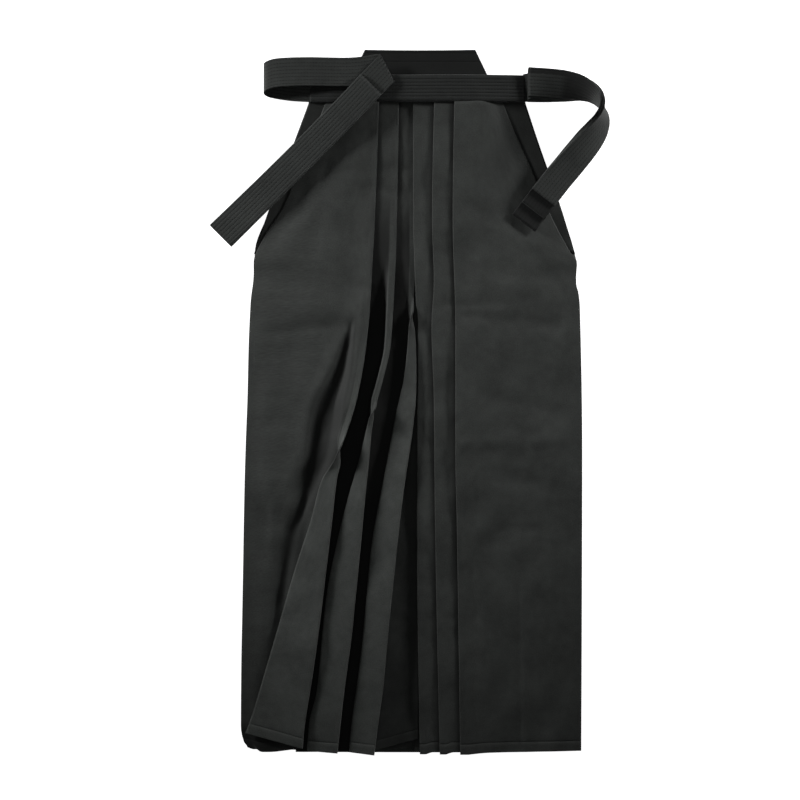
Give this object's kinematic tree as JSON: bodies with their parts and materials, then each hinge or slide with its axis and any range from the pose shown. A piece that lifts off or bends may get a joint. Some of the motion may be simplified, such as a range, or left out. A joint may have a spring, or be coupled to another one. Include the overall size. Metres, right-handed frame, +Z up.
{
  "type": "hakama trousers",
  "caption": "Pleated hakama trousers laid flat, front up, with the left pleats fanned open and both front ties folded.",
  "frame": {"origin": "middle of the underside of the whole garment's box, on the surface it lies on", "axes": "+Y towards the waist, +X across the garment to the side of the standing tie, +Z up off the surface"},
  "size_m": [0.5584, 0.9874, 0.043],
  "materials": {
    "skirt_cloth": "fine black twill, dull sheen",
    "band_cloth": "fine black twill, quilted with rows of stitching",
    "back_board": "fine black twill over a stiff board"
  },
  "bodies": {
    "root": {"back_left": "skirt_cloth", "back_right": "skirt_cloth", "gusset": "skirt_cloth", "front_left": "skirt_cloth", "front_right": "skirt_cloth", "side_fold_left": "skirt_cloth", "side_fold_right": "skirt_cloth", "koshi_ita": "back_board", "front_band": "band_cloth", "tie_left_loop": "band_cloth", "tie_left_strap": "band_cloth", "tie_right": "band_cloth", "back_tie_left": "band_cloth", "back_tie_right": "band_cloth"}
  },
  "joints": []
}
